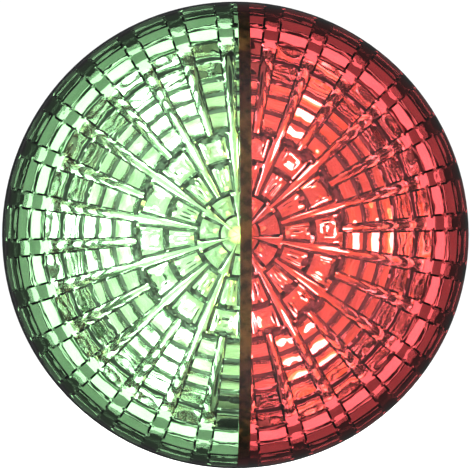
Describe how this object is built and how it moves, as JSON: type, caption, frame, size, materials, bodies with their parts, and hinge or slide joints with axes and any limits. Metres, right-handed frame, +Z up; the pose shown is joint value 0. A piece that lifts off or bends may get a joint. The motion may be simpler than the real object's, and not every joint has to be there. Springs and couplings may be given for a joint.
{
  "type": "bi-colour navigation light",
  "caption": "Round surface-mounted bow navigation light with a twist-off prismatic dome lens, green to starboard and red to port, over a ring of LEDs.",
  "frame": {"origin": "centre of the flat back face that lies on the hull", "axes": "+Z is up as mounted, the lens faces -Y, +Y points into the hull, +X is to the right as seen from ahead of the bow, which is the boat's port side"},
  "size_m": [0.0762, 0.042, 0.0762],
  "materials": {
    "base_housing": "fine spark-eroded texture, black",
    "mounting_gasket": "closed-cell foam, matt black",
    "cable_grommet": "moulded, satin",
    "lens_seal": "moulded silicone, natural white, satin",
    "mounting_hole_seals": "cut from silicone sheet, natural white, matt",
    "threaded_inserts": "turned",
    "circuit_board": "white solder mask",
    "led_epoxy": "clear cast epoxy",
    "led_leads": "tinned",
    "reflector": "white plastic, its bowl vacuum-metallised, satin",
    "reflector_screws": "stainless, plain",
    "current_resistors": "black glaze on ceramic",
    "chip_case": "moulded epoxy",
    "smoothing_capacitor": "drawn can, satin",
    "terminal_block": "moulded nylon, green",
    "terminal_screws": "zinc plated",
    "lens_starboard_green": "clear tinted polycarbonate, polished",
    "lens_port_red": "clear tinted polycarbonate, polished",
    "bayonet_ring": "natural acetal, fine moulded texture"
  },
  "bodies": {
    "base": {"base_housing": "base_housing", "mounting_gasket": "mounting_gasket", "cable_grommet": "cable_grommet", "lens_seal": "lens_seal", "mounting_hole_seals": "mounting_hole_seals", "threaded_inserts": "threaded_inserts", "circuit_board": "circuit_board", "led_centre": "led_epoxy", "leds_starboard": "led_epoxy", "leds_port": "led_epoxy", "led_leads": "led_leads", "reflector": "reflector", "reflector_screws": "reflector_screws", "current_resistors": "current_resistors", "bridge_rectifier": "chip_case", "voltage_regulator": "chip_case", "smoothing_capacitor": "smoothing_capacitor", "terminal_block": "terminal_block", "terminal_screws": "terminal_screws"},
    "lens": {"lens_starboard_green": "lens_starboard_green", "lens_port_red": "lens_port_red", "bayonet_ring": "bayonet_ring"}
  },
  "joints": [
    {"name": "lens_twist", "type": "hinge", "parent": "base", "child": "lens", "pos_m": [0, 0, 0], "axis": [0, -1, 0], "range_deg": [0, 25]}
  ]
}
